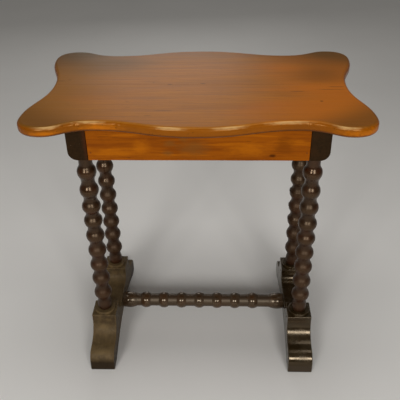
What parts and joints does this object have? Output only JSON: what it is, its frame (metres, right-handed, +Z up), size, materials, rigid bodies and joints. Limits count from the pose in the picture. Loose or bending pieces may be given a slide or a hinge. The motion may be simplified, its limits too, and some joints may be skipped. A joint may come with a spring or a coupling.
{
  "type": "tavern table",
  "caption": "Small tavern table with a serpentine pine top on bobbin-turned trestle legs, shoe feet and a turned stretcher.",
  "frame": {"origin": "on the floor below the middle of the table top", "axes": "+X along the top from left to right, -Y towards the front apron seen in the picture, +Z up"},
  "size_m": [0.754, 0.46, 0.737],
  "materials": {
    "pine": "amber shellac, worn",
    "apron_pine": "amber shellac",
    "dark_stain": "dark stain, semi-gloss",
    "raw_wood": "bare, aged",
    "iron": "dark, oxidised"
  },
  "bodies": {
    "root": {"top_board_front": "pine", "top_board_rear": "pine", "apron_front": "apron_pine", "apron_rear": "apron_pine", "bearer_left": "dark_stain", "bearer_right": "dark_stain", "leg_front_left": "dark_stain", "leg_front_right": "dark_stain", "leg_rear_left": "dark_stain", "leg_rear_right": "dark_stain", "foot_left": "dark_stain", "foot_right": "dark_stain", "stretcher": "dark_stain", "leg_bearer_pegs": "dark_stain", "leg_foot_pegs": "dark_stain", "stretcher_pegs": "dark_stain", "glue_blocks_front": "raw_wood", "glue_blocks_rear": "raw_wood", "top_screws": "iron", "apron_nails_front": "iron", "apron_nails_rear": "iron"}
  },
  "joints": []
}
